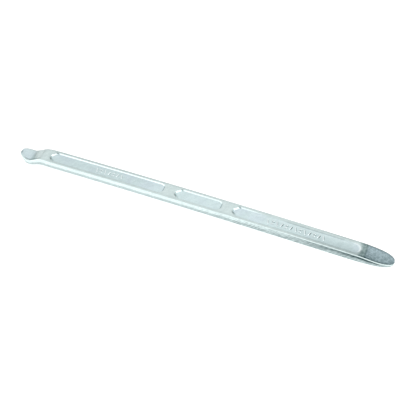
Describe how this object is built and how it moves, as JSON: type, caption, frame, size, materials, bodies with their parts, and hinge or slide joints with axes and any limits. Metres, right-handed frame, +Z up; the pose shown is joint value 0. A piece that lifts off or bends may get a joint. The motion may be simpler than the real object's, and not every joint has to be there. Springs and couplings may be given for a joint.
{
  "type": "tyre lever",
  "caption": "Drop-forged plated tyre lever: a slim bowed bar with recessed panels on both faces, an S-bent hooked end and a thin round-ended flat end.",
  "frame": {"origin": "on the bench the lever lies on, under the middle of its bounding box", "axes": "+X along the lever from the hooked end to the flat end, +Y across it, +Z up from the bench to the top face"},
  "size_m": [0.45, 0.0214, 0.0161],
  "materials": {
    "plated_steel": "bright zinc plate over forged steel, pale blue-grey, with ground sides and a duller ground flat end"
  },
  "bodies": {
    "root": {"forged_lever": "plated_steel"}
  },
  "joints": []
}
